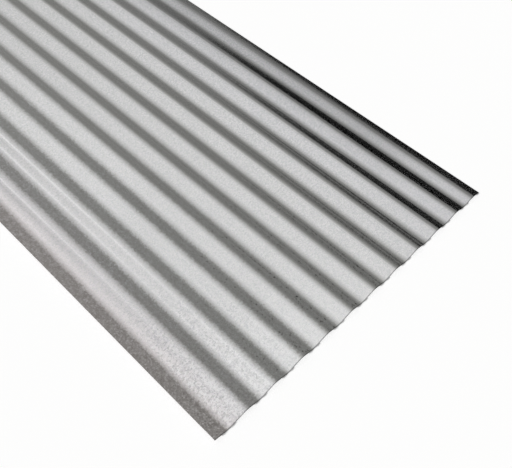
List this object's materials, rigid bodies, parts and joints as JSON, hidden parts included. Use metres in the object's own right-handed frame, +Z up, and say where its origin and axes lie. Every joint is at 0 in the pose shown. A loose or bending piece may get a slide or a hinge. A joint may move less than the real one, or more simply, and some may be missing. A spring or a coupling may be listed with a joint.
{
  "type": "corrugated metal sheet",
  "caption": "Flat-lying corrugated steel roofing sheet with evenly rolled round crests and troughs, one raised and one lowered long edge, and square cut ends.",
  "frame": {"origin": "under the middle of the sheet, on the floor that its troughs lie on", "axes": "+X across the corrugations towards the lowered long edge, +Y along the corrugations, +Z up out of the crests"},
  "size_m": [0.8664, 2.4, 0.0098],
  "materials": {
    "coated_steel": "bare zinc and aluminium coating, satin, with a fine even grain"
  },
  "bodies": {
    "root": {"corrugated_sheet": "coated_steel"}
  },
  "joints": []
}
